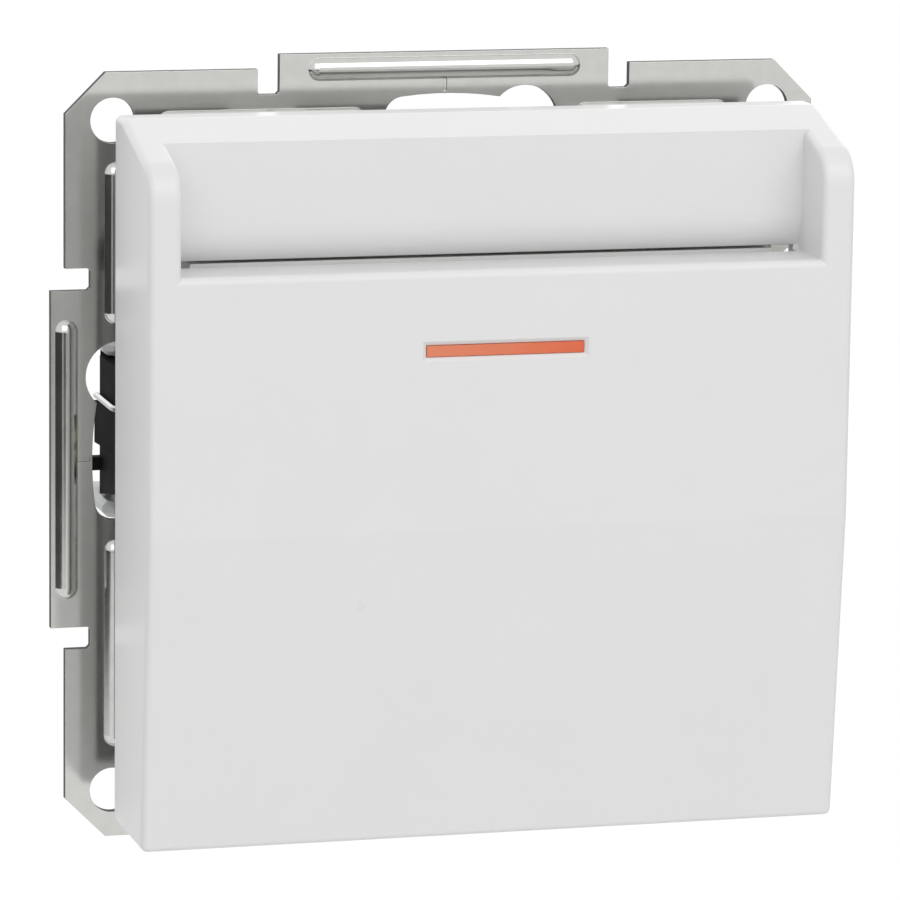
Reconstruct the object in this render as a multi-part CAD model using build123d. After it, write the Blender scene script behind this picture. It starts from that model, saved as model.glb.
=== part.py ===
"""Hotel key card switch, a flush insert for a round wall box.

Millimetres. X to the right, Y into the wall, Z up. The origin is the centre of the support ring
on its back face, so the wall is the plane Y = 0 and the front faces -Y.
"""
import math
import os

from build123d import *

# Clearances shared by the whole insert
overrun = 2.0  # how far a cutting body runs past the face it cuts
fit_gap = 0.3  # between mouldings that are clipped together
running_gap = 0.05  # radial, round a shaft that turns or slides
seat_gap = 0.02  # radial, round a pin that stays put
contact_gap = 0.06  # left between the silver tips when a card is in
wire_sides = 6  # flats round a spring, clip or lead

# Support ring, stamped from steel sheet
plate_thickness = 0.8
tab_reach = 35.5  # centre to the outer edge of a tab
body_reach = 34.22  # centre to the plate's edge beside a tab
tab_half_length = 15.06
notch_width = 1.97
notch_depth = 2.24
notch_corner = 0.25
corner_chamfer = 3.6
corner_hole_pitch = 60.0
corner_hole_radius = 2.0
arc_slot_circle_radius = 30.0
arc_slot_width = 3.6
arc_slot_end_angle = 7.1
keyhole_circle_radius = 30.15
keyhole_radius = 3.15
keyhole_angle = 14.1
bead_width = 2.0
bead_height = 0.58
bead_groove_width = 0.9
tab_bead_circle = 34.1
tab_bead_length = 24.9
inner_bead_circle = 29.7
key_side_bead_start = 12.0
key_side_bead_length = 14.3
far_side_bead_start = 7.3
far_side_bead_length = 18.7
mark_width = 0.35
mark_depth = 0.12
mark_length = 1.1
mark_margin = 0.2  # from the slot's edge
opening_corner_chamfer = 5.0

# Base housing behind the ring
housing_width = 37.2
housing_height = 48.0
housing_corner_chamfer = 7.0
housing_edge_chamfer = 0.8
housing_side_rim = 1.3  # beside the lid
housing_end_rim = 4.8  # above and below the lid
housing_rear_wall = 3.5  # behind the terminals
lid_thickness = 1.6
collar_height = 1.8
collar_wall = 1.6

# Rivets through ring and housing
rivet_radius = 1.2
rivet_head_radius = 2.0
rivet_head_height = 0.7
rivet_depth = 6.0

# Terminals
terminal_half_pitch = 8.5
cage_width = 6.6
cage_height = 7.0
cage_length = 7.0
cage_wall = 1.0
cage_inner_level = 11.5  # centre line of the base to the near side of a cage
cage_behind_strips = 1.8
strip_width = 4.0
strip_thickness = 0.8
strip_rear_margin = 0.5
entry_side = 3.6
entry_funnel = 0.6
entry_funnel_depth = 0.6
terminal_screw_radius = 1.6
terminal_head_radius = 2.4
terminal_head_height = 1.8
terminal_head_sink = 0.8
terminal_screw_reach = 2.9  # into the cage, from its outer wall
screw_slot_width = 0.7
screw_slot_depth = 0.8

# Contacts
tip_radius = 1.4
tip_height = 0.8
bridge_width = 4.4
bridge_thickness = 0.8
bridge_end_margin = 1.9
strip_top_margin = 1.8

# Spreading claws, one on each side of the housing
claw_pivot_out = 1.4  # from the housing's side to the pivot
claw_pivot_depth = 9.1
claw_arm_reach = 7.6  # from pivot to the arm's outer face
claw_nut_room = 0.9  # from the nut to the arm's inner face
claw_arm_length = 12.9  # from pivot to the tip
claw_arm_bend = 6.9  # from pivot to where the arm turns in
claw_tip_inset = 1.65
claw_sheet = 1.2
claw_bend_round = 1.0
claw_half_height = 6.4
claw_trunnion_radius = 0.9
claw_tooth = 0.5
claw_tooth_pitch = 1.5
claw_tip_notch_half = 2.2
claw_tip_notch_depth = 3.0
claw_rib_near_level = 1.6
claw_rib_far_level = 2.3
claw_rib_rise = 0.5
claw_rib_length = 6.0
claw_edge_slope_rise = 1.4
claw_nib_level = 3.4
claw_nib_half_height = 0.6
claw_nib_reach = 1.3
clip_wire_radius = 0.3
clip_level = 2.75
clip_end_margin = 0.9
cheek_thickness = 1.5
cheek_edge_round = 0.5
cheek_near_reach = 5.0  # from the housing's side
cheek_far_reach = 9.2
cheek_near_start = 3.0
cheek_far_start = 13.0
cheek_corner = 0.9
claw_screw_radius = 1.5
claw_head_radius = 2.8
claw_head_height = 1.9
claw_screw_end = 15.0
nut_radius = 1.8
nut_length = 9.0

# Carrier, the frame between ring and cover
carrier_width = 52.4
carrier_height = 56.0
carrier_depth = 13.8  # from the ring to the card channel
carrier_wall = 1.6
carrier_upper_setback = 2.1
carrier_flange_reach = 28.0
carrier_flange_thickness = 1.6
carrier_lift = 0.3  # of the side walls above the ring
leg_width = 2.6
leg_thickness = 1.2
leg_barb = 0.5
leg_barb_length = 1.1
leg_out = 19.5
leg_up = 20.6

# Card and its channel
card_width = 54.0
card_side_play = 0.4
channel_depth = 1.4
card_slot_width = 1.1

# Cover
cover_width = 62.66
cover_height = 62.5
cover_rise = 0.15  # of the cover's centre above the ring's
cover_depth = 13.4  # from the front face to the rim
lip_depth = 5.7
lip_below_top = 12.26
lip_thickness = 1.5
lip_round = 0.7
crease_height = 27.66  # above the cover's bottom edge
front_lean = 2.35  # how far the bottom edge lies behind the front face
top_flat_depth = 2.6
top_slope_angle = 17.2
top_nose_round = 3.2
top_slope_round = 1.0
side_edge_round = 0.62
bottom_edge_round = 0.5
cover_side_wall = 1.5
cover_front_wall = 1.8
cover_bottom_wall = 1.8
cover_top_wall = 1.5
flange_thickness = 2.88
flange_edge_round = 0.6
recess_wall_thickness = 1.95
recess_wall_lean = 1.05
recess_wall_curve_lean = 0.89
recess_wall_curve_height = 3.0
recess_wall_end_above_lip = 0.43
slot_end_margin = 0.45
rib_thickness = 1.2
rib_half_pitches = (13.0, 21.0)
rail_thickness = 1.2
rail_above_middle = 15.0
rail_rear_depth = 9.4
hook_width = 6.0
hook_half_pitch = 15.0
hook_top_thickness = 1.2
hook_bottom_thickness = 1.0
hook_barb = 1.0
hook_barb_length = 1.2
hook_beyond_rim = 2.6
hook_root = 3.0

# Window and orange lens in the cover
lens_width = 14.0
lens_height = 0.95
lens_below_lip = 6.92
lens_gap = 0.04
lens_sink = 0.2
window_bevel = 0.35
window_bevel_depth = 0.3
lens_flange_width = 16.4
lens_flange_height = 3.4
lens_flange_thickness = 1.0
lens_tail = 1.4
lens_tail_height = 1.9

# Rocker in the card's path
hinge_level = 5.5
hinge_behind_channel = 4.0
barrel_radius = 2.0
pin_radius = 1.0
lever_width = 16.0
nose_level = -10.5
nose_reach = 3.4  # in front of the channel's rear wall
nose_round = 0.8
heel_drop = 3.1
heel_back = 2.2
heel_length = 2.2
arm_thickness = 2.0
pad_level = -6.0
pad_behind_hinge = 1.0
pad_radius = 1.5
pad_width = 5.0
ear_thickness = 2.0
ear_half_height = 2.5
ear_reach = 2.0
pin_overhang = 0.6
lever_window_top = 6.0
lever_window_margin = 1.2

# Plunger, on the level of the rocker's pad
plunger_head_radius = 3.2
plunger_head_height = 2.2
plunger_dome = 0.5
plunger_stem_radius = 2.4
plunger_neck_radius = 1.2
bridge_depth = 5.6  # from the ring's back face to the bridge
neck_beyond_seat = 1.5
spring_wire_radius = 0.22
spring_radius = 2.0
spring_length = 5.6
spring_turns = 3.5

# Orientation light
board_half_width = 17.0
board_half_height = 4.2
board_thickness = 1.0
board_depth = 8.6  # from the channel's rear wall
post_side = 3.0
post_pin_side = 1.4
post_half_pitch = 14.5
lamp_radius = 2.5
lamp_length = 11.0
lamp_behind_channel = 5.4
lead_radius = 0.3
lead_run = 1.3
resistor_radius = 1.1
resistor_length = 6.4
resistor_drop = 3.3
resistor_middle = 0.0
base_pin_side = 0.8
base_pin_depth = 2.5
guide_width = 12.0
guide_height = 2.6
guide_length = 2.4

# Places along Y
plate_front = -plate_thickness
channel_rear = plate_front - carrier_depth
channel_front = channel_rear - channel_depth
cover_front = channel_front - lip_depth
cover_rim = cover_front + cover_depth
slot_rear = channel_front + card_slot_width
lid_front = plate_front
lid_rear = lid_front + lid_thickness
bridge_front = bridge_depth
bridge_rear = bridge_front + bridge_thickness
spring_seat = bridge_rear + spring_length

# Places along Z
cover_top = cover_height / 2 + cover_rise
cover_bottom = -cover_height / 2 + cover_rise
lip_level = cover_top - lip_below_top
lens_level = lip_level - lens_below_lip
recess_wall_end = lip_level + recess_wall_end_above_lip
carrier_step_level = recess_wall_end - fit_gap
crease_level = cover_bottom + crease_height

# Places along X, and the lid's and rivets' along Z
claw_pivot_x = housing_width / 2 + claw_pivot_out
claw_screw_arm = claw_arm_reach - claw_sheet - claw_nut_room - nut_radius
claw_screw_x = claw_pivot_x + claw_screw_arm
flange_inner = cover_width / 2 - flange_thickness
lid_half_width = housing_width / 2 - housing_side_rim
lid_half_height = housing_height / 2 - housing_end_rim
rivet_level = lid_half_height + housing_end_rim / 2 + fit_gap

# The rocker swings until its nose is flush with the channel's rear wall
hinge_y = channel_rear + hinge_behind_channel
nose_below_hinge = hinge_level - nose_level
nose_forward = hinge_behind_channel + nose_reach
nose_arm = math.hypot(nose_below_hinge, nose_forward)
lever_swing = math.atan2(nose_forward, nose_below_hinge) - math.asin(hinge_behind_channel / nose_arm)
pad_below_hinge = hinge_level - pad_level
plunger_travel = pad_behind_hinge * (math.cos(lever_swing) - 1) + pad_below_hinge * math.sin(lever_swing)
pad_rear = hinge_y + pad_behind_hinge + pad_radius
plunger_front = pad_rear + fit_gap
moving_tip_face = bridge_rear + tip_height
fixed_tip_face = moving_tip_face + plunger_travel + contact_gap
strip_front = fixed_tip_face + tip_height
strip_rear = strip_front + strip_thickness
cage_front = strip_rear + cage_behind_strips
cage_rear = cage_front + cage_length
housing_depth = cage_rear + housing_rear_wall


def block(x_range, y_range, z_range):
    """Box between two limits along each axis."""
    lows, highs = zip(x_range, y_range, z_range)
    centre = [(low + high) / 2 for low, high in zip(lows, highs)]
    return Pos(*centre) * Box(*[high - low for low, high in zip(lows, highs)])


def rod_x(radius, x_range, y, z):
    return Pos(sum(x_range) / 2, y, z) * Rot(0, 90, 0) * Cylinder(radius, x_range[1] - x_range[0])


def rod_y(radius, x, y_range, z):
    return Pos(x, sum(y_range) / 2, z) * Rot(90, 0, 0) * Cylinder(radius, y_range[1] - y_range[0])


def rod_z(radius, x, y, z_range):
    return Pos(x, y, sum(z_range) / 2) * Cylinder(radius, z_range[1] - z_range[0])


def bar_y(side, x, y_range, z):
    """Square bar along Y."""
    half = side / 2
    return block((x - half, x + half), y_range, (z - half, z + half))


def side_profile(points, half_width):
    """Outline given as (y, z) points, thick along X and centred on X = 0."""
    return extrude(Plane.YZ * make_face(Polyline(*points, close=True)), half_width, both=True)


def turned(body, angle):
    """Body turned about the insert's centre line."""
    return Rot(0, angle, 0) * body


def nearest_vertex(face, point):
    return face.vertices().sort_by_distance(Vector(*point))[0]


def span(sign, near, far):
    """Limits along Z of something that lies from near to far on the given side of the middle."""
    return tuple(sorted((sign * near, sign * far)))


# Support ring

def bead(length, circle, start):
    """Round stiffening bead along a side of the ring, with the hollow of the stamp behind it."""
    radius = (bead_height ** 2 + (bead_width / 2) ** 2) / (2 * bead_height)
    axis_y = plate_front - bead_height + radius
    near = start + bead_width / 2
    far = start + length - bead_width / 2
    rise = rod_x(radius, (near, far), axis_y, circle)
    rise += Pos(near, axis_y, circle) * Sphere(radius)
    rise += Pos(far, axis_y, circle) * Sphere(radius)
    rise &= block(
        (near - radius, far + radius),
        (plate_front - radius, plate_front),
        (circle - radius, circle + radius),
    )
    half_groove = bead_groove_width / 2
    groove = block((near, far), (plate_front, overrun), (circle - half_groove, circle + half_groove))
    return rise, groove


def ring_side_cuts():
    """Cuts on the top side of the ring: keyhole slot, notches beside the tab, centre mark."""
    key_side = 90 - keyhole_angle
    centreline = CenterArc((0, 0), arc_slot_circle_radius, key_side, keyhole_angle + arc_slot_end_angle)
    key_centre = Vector(keyhole_circle_radius, 0).rotate(Axis.Z, key_side)
    cuts = SlotArc(centreline, arc_slot_width) + Pos(key_centre) * Circle(keyhole_radius)
    notch_length = notch_depth + overrun
    notch_z = body_reach - notch_depth + notch_length / 2
    notch = chamfer(Rectangle(notch_width, notch_length).vertices(), notch_corner)
    for sign in (-1, 1):
        cuts += Pos(sign * (tab_half_length + notch_width / 2), notch_z) * notch
    return cuts


def support_ring():
    outline = Rectangle(2 * body_reach, 2 * body_reach)
    outline = chamfer(outline.vertices(), corner_chamfer)
    outline += Rectangle(2 * tab_half_length, 2 * tab_reach)
    outline += Rectangle(2 * tab_reach, 2 * tab_half_length)
    opening = Rectangle(2 * (lid_half_width + fit_gap), 2 * (lid_half_height + fit_gap))
    outline -= chamfer(opening.vertices(), opening_corner_chamfer)
    outline -= GridLocations(corner_hole_pitch, corner_hole_pitch, 2, 2) * Circle(corner_hole_radius)
    outline -= GridLocations(0, 2 * rivet_level, 1, 2) * Circle(rivet_radius + running_gap)
    outline -= GridLocations(2 * claw_screw_x, 0, 2, 1) * Circle(claw_screw_radius + fit_gap)
    leg_hole = Rectangle(leg_width + 2 * fit_gap, leg_thickness + leg_barb + 2 * fit_gap)
    outline -= GridLocations(2 * leg_out, 2 * (leg_up + leg_barb / 2), 2, 2) * leg_hole
    for side in range(4):
        outline -= Rot(0, 0, 90 * side) * ring_side_cuts()
    ring = extrude(Plane.XZ * outline, plate_thickness)

    mark_start = arc_slot_circle_radius + arc_slot_width / 2 + mark_margin
    mark = block(
        (-mark_width / 2, mark_width / 2),
        (plate_front - overrun, plate_front + mark_depth),
        (mark_start, mark_start + mark_length),
    )
    beads = [
        bead(tab_bead_length, tab_bead_circle, -tab_bead_length / 2),
        bead(key_side_bead_length, inner_bead_circle, key_side_bead_start),
        bead(far_side_bead_length, inner_bead_circle, -far_side_bead_start - far_side_bead_length),
    ]
    for side in range(4):
        for rise, groove in beads:
            ring += turned(rise, 90 * side)
            ring -= turned(groove, 90 * side)
        ring -= turned(mark, 90 * side)
    return ring


def housing_rivets():
    rivets = []
    for z in (-rivet_level, rivet_level):
        head = rod_y(rivet_head_radius, 0, (plate_front - rivet_head_height, plate_front), z)
        head = chamfer(head.edges().group_by(Axis.Y)[0], rivet_head_height / 2)
        rivets.append(head + rod_y(rivet_radius, 0, (plate_front, rivet_depth), z))
    return Compound(children=rivets)


# Base housing, with its terminals

def terminal_places():
    """Middle of each clamp cage as (x, sign of z)."""
    return [(x, sign) for x in (-terminal_half_pitch, terminal_half_pitch) for sign in (-1, 1)]


def terminal_pocket(x, sign):
    """Room for one cage, its strip and its screw, and the wire's way in from behind."""
    half = cage_width / 2 + seat_gap
    far = cage_inner_level + cage_height
    pocket = block(
        (x - half, x + half),
        (lid_rear - overrun, cage_rear),
        span(sign, cage_inner_level, far + seat_gap),
    )
    screw_y = cage_rear - cage_length / 2
    pocket += rod_z(terminal_head_radius + fit_gap, x, screw_y, span(sign, far, housing_height / 2 + overrun))
    entry_z = sign * (cage_inner_level + cage_height / 2)
    pocket += bar_y(entry_side, x, (cage_rear - overrun, housing_depth + overrun), entry_z)
    mouth_side = entry_side + 2 * entry_funnel
    mouth = Plane.XZ.offset(-housing_depth) * Pos(x, entry_z) * Rectangle(mouth_side, mouth_side)
    funnel_taper = math.degrees(math.atan2(entry_funnel, entry_funnel_depth))
    return pocket + extrude(mouth, entry_funnel_depth, taper=funnel_taper)


def contact_cavity():
    """Room for the bridge, its plunger and the two fixed contacts."""
    half_x = terminal_half_pitch + bridge_end_margin + fit_gap
    half_z = bridge_width / 2 + fit_gap
    y_range = (lid_rear - overrun, strip_rear)
    cavity = block((-half_x, half_x), y_range, (pad_level - half_z, pad_level + half_z))
    cavity += rod_y(spring_radius + spring_wire_radius + fit_gap, 0, (lid_rear, spring_seat), pad_level)
    guide_end = spring_seat + neck_beyond_seat + plunger_travel + fit_gap
    cavity += rod_y(plunger_neck_radius + running_gap, 0, (lid_rear, guide_end), pad_level)
    for x in (-terminal_half_pitch, terminal_half_pitch):
        half_strip = strip_width / 2 + seat_gap
        low = -cage_inner_level - cage_wall - strip_thickness
        cavity += block((x - half_strip, x + half_strip), y_range, (low, pad_level))
    return cavity


def claw_cheeks(sign):
    """Pair of thin walls that carry the claw's trunnions on one side of the housing."""
    inner = claw_half_height + fit_gap
    side = housing_width / 2
    near = sign * (side + cheek_near_reach)
    far = sign * (side + cheek_far_reach)
    corner = sign * (side + cheek_far_reach - cheek_corner)
    outline = Polyline(
        (sign * (side - housing_side_rim), cheek_near_start),
        (near, cheek_near_start),
        (near, cheek_far_start),
        (corner, cheek_far_start),
        (far, cheek_far_start + cheek_corner),
        (far, housing_depth),
        (sign * (side - housing_side_rim), housing_depth),
        close=True,
    )
    cheeks = []
    for level in (inner, -inner - cheek_thickness):
        cheek = extrude(Plane.XY.offset(level) * make_face(outline), cheek_thickness)
        outer_edges = [
            edge
            for edge in cheek.edges().filter_by(Axis.Z, reverse=True)
            if abs(edge.center().X) > side + cheek_near_reach and edge.center().Y < housing_depth - seat_gap
        ]
        cheek = chamfer(outer_edges, cheek_edge_round)
        bore = rod_z(
            claw_trunnion_radius + running_gap,
            sign * claw_pivot_x,
            claw_pivot_depth,
            (level - overrun, level + cheek_thickness + overrun),
        )
        cheeks.append(cheek - bore)
    return cheeks


def housing():
    outline = Rectangle(housing_width, housing_height)
    outline = chamfer(outline.vertices(), housing_corner_chamfer)
    body = extrude(Plane.XZ * outline, -housing_depth)
    body = chamfer(body.edges().group_by(Axis.Y)[-1], housing_edge_chamfer)
    lid_room = block(
        (-lid_half_width - seat_gap, lid_half_width + seat_gap),
        (-overrun, lid_rear),
        (-lid_half_height - seat_gap, lid_half_height + seat_gap),
    )
    body -= lid_room
    body -= contact_cavity()
    for x, sign in terminal_places():
        body -= terminal_pocket(x, sign)
    for z in (-rivet_level, rivet_level):
        body -= rod_y(rivet_radius + seat_gap, 0, (-overrun, rivet_depth), z)
    for sign in (-1, 1):
        for cheek in claw_cheeks(sign):
            body += cheek
    return body


def housing_lid():
    lid = block(
        (-lid_half_width, lid_half_width),
        (lid_front, lid_rear),
        (-lid_half_height, lid_half_height),
    )
    corner_edges = lid.edges().filter_by(Axis.Y)
    lid = chamfer(corner_edges, opening_corner_chamfer)
    bore_radius = plunger_stem_radius + running_gap
    lid += rod_y(bore_radius + collar_wall, 0, (lid_front - collar_height, lid_front), pad_level)
    lid -= rod_y(bore_radius, 0, (lid_front - collar_height - overrun, lid_rear + overrun), pad_level)
    hole_range = (lid_front - overrun, lid_rear + overrun)
    for x in (-terminal_half_pitch, terminal_half_pitch):
        lid -= bar_y(base_pin_side + 2 * fit_gap, x, hole_range, base_pin_level())
    return lid


def base_pin_level():
    """Height of the lamp's two pins: the middle of the upper strips."""
    return cage_inner_level + cage_wall + strip_thickness / 2


def terminal_cages():
    cages = []
    screw_y = cage_rear - cage_length / 2
    far = cage_inner_level + cage_height
    for x, sign in terminal_places():
        middle = sign * (cage_inner_level + cage_height / 2)
        outer = Pos(x, (cage_front + cage_rear) / 2, middle) * Box(cage_width, cage_length, cage_height)
        inner = Box(cage_width - 2 * cage_wall, cage_length + overrun, cage_height - 2 * cage_wall)
        cage = outer - Pos(x, (cage_front + cage_rear) / 2, middle) * inner
        thread_range = span(sign, far - cage_wall - overrun / 2, far + overrun)
        cages.append(cage - rod_z(terminal_screw_radius + running_gap, x, screw_y, thread_range))
    return Compound(children=cages)


def terminal_screws():
    screws = []
    screw_y = cage_rear - cage_length / 2
    head_top = housing_height / 2 - terminal_head_sink
    head_foot = head_top - terminal_head_height
    tip = cage_inner_level + cage_height - terminal_screw_reach
    for x, sign in terminal_places():
        screw = rod_z(terminal_head_radius, x, screw_y, span(sign, head_foot, head_top))
        screw += rod_z(terminal_screw_radius, x, screw_y, span(sign, tip, head_foot))
        half_slot = screw_slot_width / 2
        slot = block(
            (x - terminal_head_radius - overrun, x + terminal_head_radius + overrun),
            (screw_y - half_slot, screw_y + half_slot),
            span(sign, head_top - screw_slot_depth, head_top + overrun),
        )
        screws.append(screw - slot)
    return Compound(children=screws)


def fixed_contacts():
    """Bent strips from the fixed tips to the lower pair of cages."""
    half = strip_width / 2
    cage_side = -cage_inner_level - cage_wall
    low = cage_side - strip_thickness
    strips = []
    for x in (-terminal_half_pitch, terminal_half_pitch):
        x_range = (x - half, x + half)
        upright = block(x_range, (strip_front, strip_rear), (low, pad_level + strip_top_margin))
        foot = block(x_range, (strip_front, cage_rear - strip_rear_margin), (low, cage_side))
        strips.append(upright + foot)
    return Compound(children=strips)


def lamp_contacts():
    """Straight strips from behind the lid into the upper pair of cages."""
    half = strip_width / 2
    cage_side = cage_inner_level + cage_wall
    y_range = (base_pin_depth + contact_gap, cage_rear - strip_rear_margin)
    return Compound(children=[
        block((x - half, x + half), y_range, (cage_side, cage_side + strip_thickness))
        for x in (-terminal_half_pitch, terminal_half_pitch)
    ])


def contact_tips(y_range):
    return Compound(children=[
        rod_y(tip_radius, x, y_range, pad_level) for x in (-terminal_half_pitch, terminal_half_pitch)
    ])


def contact_bridge():
    half_x = terminal_half_pitch + bridge_end_margin
    half_z = bridge_width / 2
    bar = block((-half_x, half_x), (bridge_front, bridge_rear), (pad_level - half_z, pad_level + half_z))
    bar = chamfer(bar.edges().filter_by(Axis.Y), half_z / 2)
    hole_range = (bridge_front - overrun, bridge_rear + overrun)
    return bar - rod_y(plunger_neck_radius + seat_gap, 0, hole_range, pad_level)


def plunger():
    head_rear = plunger_front + plunger_head_height
    neck_end = spring_seat + neck_beyond_seat
    head = rod_y(plunger_head_radius, 0, (plunger_front, head_rear), pad_level)
    head = chamfer(head.edges().group_by(Axis.Y)[0], plunger_dome)
    body = head + rod_y(plunger_stem_radius, 0, (head_rear, bridge_front), pad_level)
    return body + rod_y(plunger_neck_radius, 0, (bridge_front, neck_end), pad_level)


def plunger_spring():
    height = spring_length - 2 * spring_wire_radius
    helix = Helix(height / spring_turns, height, spring_radius)
    start = Plane(helix @ 0, z_dir=helix % 0)
    coil = sweep(start * RegularPolygon(spring_wire_radius, wire_sides), path=helix)
    return Pos(0, bridge_rear + spring_wire_radius, pad_level) * Rot(-90, 0, 0) * coil


# Spreading claws

def claw(sign):
    """Bent claw: cross bar on the pivot, arm along the housing, toothed tip."""
    def place(out, back):
        return (sign * (claw_pivot_x + out), claw_pivot_depth + back)

    half_sheet = claw_sheet / 2
    inner = claw_arm_reach - claw_sheet
    tip_outer = claw_arm_reach - claw_tip_inset
    last_root = claw_arm_length - claw_tooth_pitch
    outline = Polyline(
        place(0, -half_sheet),
        place(claw_arm_reach, -half_sheet),
        place(claw_arm_reach, claw_arm_bend),
        place(tip_outer, last_root - claw_tooth_pitch),
        place(tip_outer + claw_tooth, last_root - claw_tooth_pitch / 2),
        place(tip_outer, last_root),
        place(tip_outer + claw_tooth, last_root + claw_tooth_pitch / 2),
        place(tip_outer - claw_sheet, claw_arm_length),
        place(inner, claw_arm_bend),
        place(inner, half_sheet),
        place(0, half_sheet),
        close=True,
    )
    sheet = make_face(outline)
    sheet = fillet(nearest_vertex(sheet, place(claw_arm_reach, -half_sheet)), claw_bend_round)
    body = extrude(sheet, claw_half_height, both=True)
    trunnion_half = claw_half_height + fit_gap + cheek_thickness
    body += rod_z(claw_trunnion_radius, *place(0, 0), (-trunnion_half, trunnion_half))

    slot_near = claw_screw_arm - claw_screw_radius - fit_gap
    slot_far = inner - running_gap
    slot_half = claw_screw_radius + fit_gap
    body -= block(
        sorted((place(slot_near, 0)[0], place(slot_far, 0)[0])),
        (claw_pivot_depth - claw_sheet, claw_pivot_depth + claw_sheet),
        (-slot_half, slot_half),
    )
    tip_y = claw_pivot_depth + claw_arm_length
    body -= block(
        sorted((place(0, 0)[0], place(claw_arm_reach + overrun, 0)[0])),
        (tip_y - claw_tip_notch_depth, tip_y + overrun),
        (-claw_tip_notch_half, claw_tip_notch_half),
    )
    rib_outline = Polyline(
        place(inner, claw_arm_bend - claw_rib_length),
        place(claw_arm_reach, claw_arm_bend - claw_rib_length),
        place(claw_arm_reach + claw_rib_rise, claw_arm_bend),
        place(inner, claw_arm_bend),
        close=True,
    )
    low, high = span(sign, claw_rib_near_level, -claw_rib_far_level)
    body += extrude(Plane.XY.offset(low) * make_face(rib_outline), high - low)
    edge = sign * claw_half_height
    edge_cut = side_profile(
        [
            (claw_pivot_depth - claw_sheet, edge - sign * claw_edge_slope_rise),
            (claw_pivot_depth + claw_arm_bend, edge),
            (claw_pivot_depth + claw_arm_bend, edge + sign * overrun),
            (claw_pivot_depth - claw_sheet, edge + sign * overrun),
        ],
        claw_arm_reach / 2,
    )
    body -= Pos(place(claw_arm_reach / 2 + claw_trunnion_radius, 0)[0], 0, 0) * edge_cut
    nib = block(
        sorted((place(inner, 0)[0], place(claw_arm_reach + claw_nib_reach, 0)[0])),
        (claw_pivot_depth + claw_arm_bend - claw_sheet, claw_pivot_depth + claw_arm_bend),
        (sign * claw_nib_level - claw_nib_half_height, sign * claw_nib_level + claw_nib_half_height),
    )
    return body + nib


def claw_clip(sign):
    """Wire spring that pulls a claw in: along the arm, round the front of the cross bar, to the housing."""
    gap = clip_wire_radius + seat_gap
    level = -sign * clip_level
    arm_x = sign * (claw_pivot_x + claw_arm_reach + gap)
    bar_y = claw_pivot_depth - claw_trunnion_radius - gap
    tail_x = sign * (housing_width / 2 + clip_end_margin)
    path = FilletPolyline(
        (arm_x, claw_pivot_depth + claw_arm_bend, level),
        (arm_x, bar_y, level),
        (tail_x, bar_y, level),
        radius=claw_bend_round,
    )
    section = Plane(path @ 0, z_dir=path % 0) * RegularPolygon(clip_wire_radius, wire_sides)
    return sweep(section, path=path)


def claw_screw(sign):
    x = sign * claw_screw_x
    head = rod_y(claw_head_radius, x, (plate_front - claw_head_height, plate_front), 0)
    slot = block(
        (x - claw_head_radius - overrun, x + claw_head_radius + overrun),
        (plate_front - claw_head_height - overrun, plate_front - claw_head_height + screw_slot_depth),
        (-screw_slot_width / 2, screw_slot_width / 2),
    )
    return head - slot + rod_y(claw_screw_radius, x, (plate_front, claw_screw_end), 0)


def claw_nut(sign):
    """Round bar nut that rocks behind the claw's cross bar."""
    y = claw_pivot_depth + claw_sheet / 2 + fit_gap + nut_radius
    x = sign * claw_screw_x
    nut = rod_z(nut_radius, x, y, (-nut_length / 2, nut_length / 2))
    return nut - rod_y(claw_screw_radius + running_gap, x, (y - 2 * nut_radius, y + 2 * nut_radius), 0)


# Carrier

def carrier_shell():
    """Stepped tray: the lower part reaches the card channel, the upper one stays behind the recess."""
    half_x = carrier_width / 2
    half_z = carrier_height / 2
    rear = plate_front - carrier_lift
    upper_front = channel_rear + carrier_upper_setback
    step = carrier_step_level
    body = block((-half_x, half_x), (channel_rear, rear), (-half_z, step))
    body += block((-half_x, half_x), (upper_front, rear), (-half_z, half_z))
    inner_x = half_x - carrier_wall
    inner_z = half_z - carrier_wall
    lower_room = (channel_rear + carrier_wall, rear + overrun)
    body -= block((-inner_x, inner_x), lower_room, (-inner_z, step - carrier_wall))
    body -= block((-inner_x, inner_x), (upper_front + carrier_wall, rear + overrun), (-inner_z, inner_z))
    flange = block(
        (-carrier_flange_reach, carrier_flange_reach),
        (plate_front - carrier_flange_thickness, plate_front),
        (-carrier_flange_reach, carrier_flange_reach),
    )
    flange -= block(
        (-inner_x, inner_x),
        (plate_front - carrier_flange_thickness - overrun, plate_front + overrun),
        (-inner_z, inner_z),
    )
    return body + flange


def carrier_leg(x_sign, z_sign):
    """Snap leg from the tray's front wall through the ring."""
    root = channel_rear + carrier_wall / 2
    if z_sign > 0:
        root += carrier_upper_setback
    x_range = (x_sign * leg_out - leg_width / 2, x_sign * leg_out + leg_width / 2)
    near = leg_up - leg_thickness / 2
    far = leg_up + leg_thickness / 2
    leg = block(x_range, (root, leg_barb_length + fit_gap), span(z_sign, near, far))
    barb = side_profile(
        [
            (fit_gap, z_sign * near),
            (fit_gap, z_sign * (far + leg_barb)),
            (fit_gap + leg_barb_length, z_sign * far),
            (fit_gap + leg_barb_length, z_sign * near),
        ],
        leg_width / 2,
    )
    return leg + Pos(x_sign * leg_out, 0, 0) * barb


def bearing_ear(sign):
    """Ear behind the tray's front wall that holds one end of the rocker's pin."""
    near = lever_width / 2 + fit_gap
    x_range = sorted((sign * near, sign * (near + ear_thickness)))
    ear = block(
        x_range,
        (channel_rear + carrier_wall / 2, hinge_y + ear_reach),
        (hinge_level - ear_half_height, hinge_level + ear_half_height),
    )
    bore_range = (x_range[0] - overrun, x_range[1] + overrun)
    return ear - rod_x(pin_radius + seat_gap, bore_range, hinge_y, hinge_level)


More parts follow.
